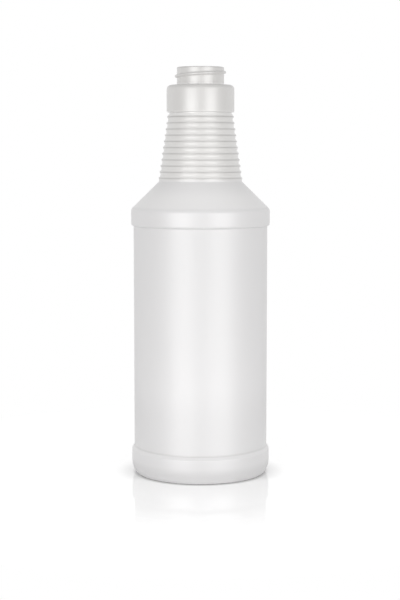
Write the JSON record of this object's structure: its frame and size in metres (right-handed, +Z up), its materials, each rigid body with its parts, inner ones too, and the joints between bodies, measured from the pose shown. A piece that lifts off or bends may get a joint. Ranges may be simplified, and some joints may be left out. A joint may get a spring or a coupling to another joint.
{
  "type": "plastic carafe bottle",
  "caption": "Hollow blow-moulded carafe bottle with a screw neck, grip rings, conical shoulder and recessed label panel, for a trigger sprayer or cap.",
  "frame": {"origin": "on the bottle's axis, at the plane that its standing ring rests on", "axes": "+Z up along the bottle's axis, out of its mouth; +X and -X through the mould's parting line"},
  "size_m": [0.0748, 0.0748, 0.219],
  "materials": {
    "bottle_plastic": "satin natural-white polyethylene"
  },
  "bodies": {
    "root": {"carafe_bottle": "bottle_plastic"}
  },
  "joints": []
}
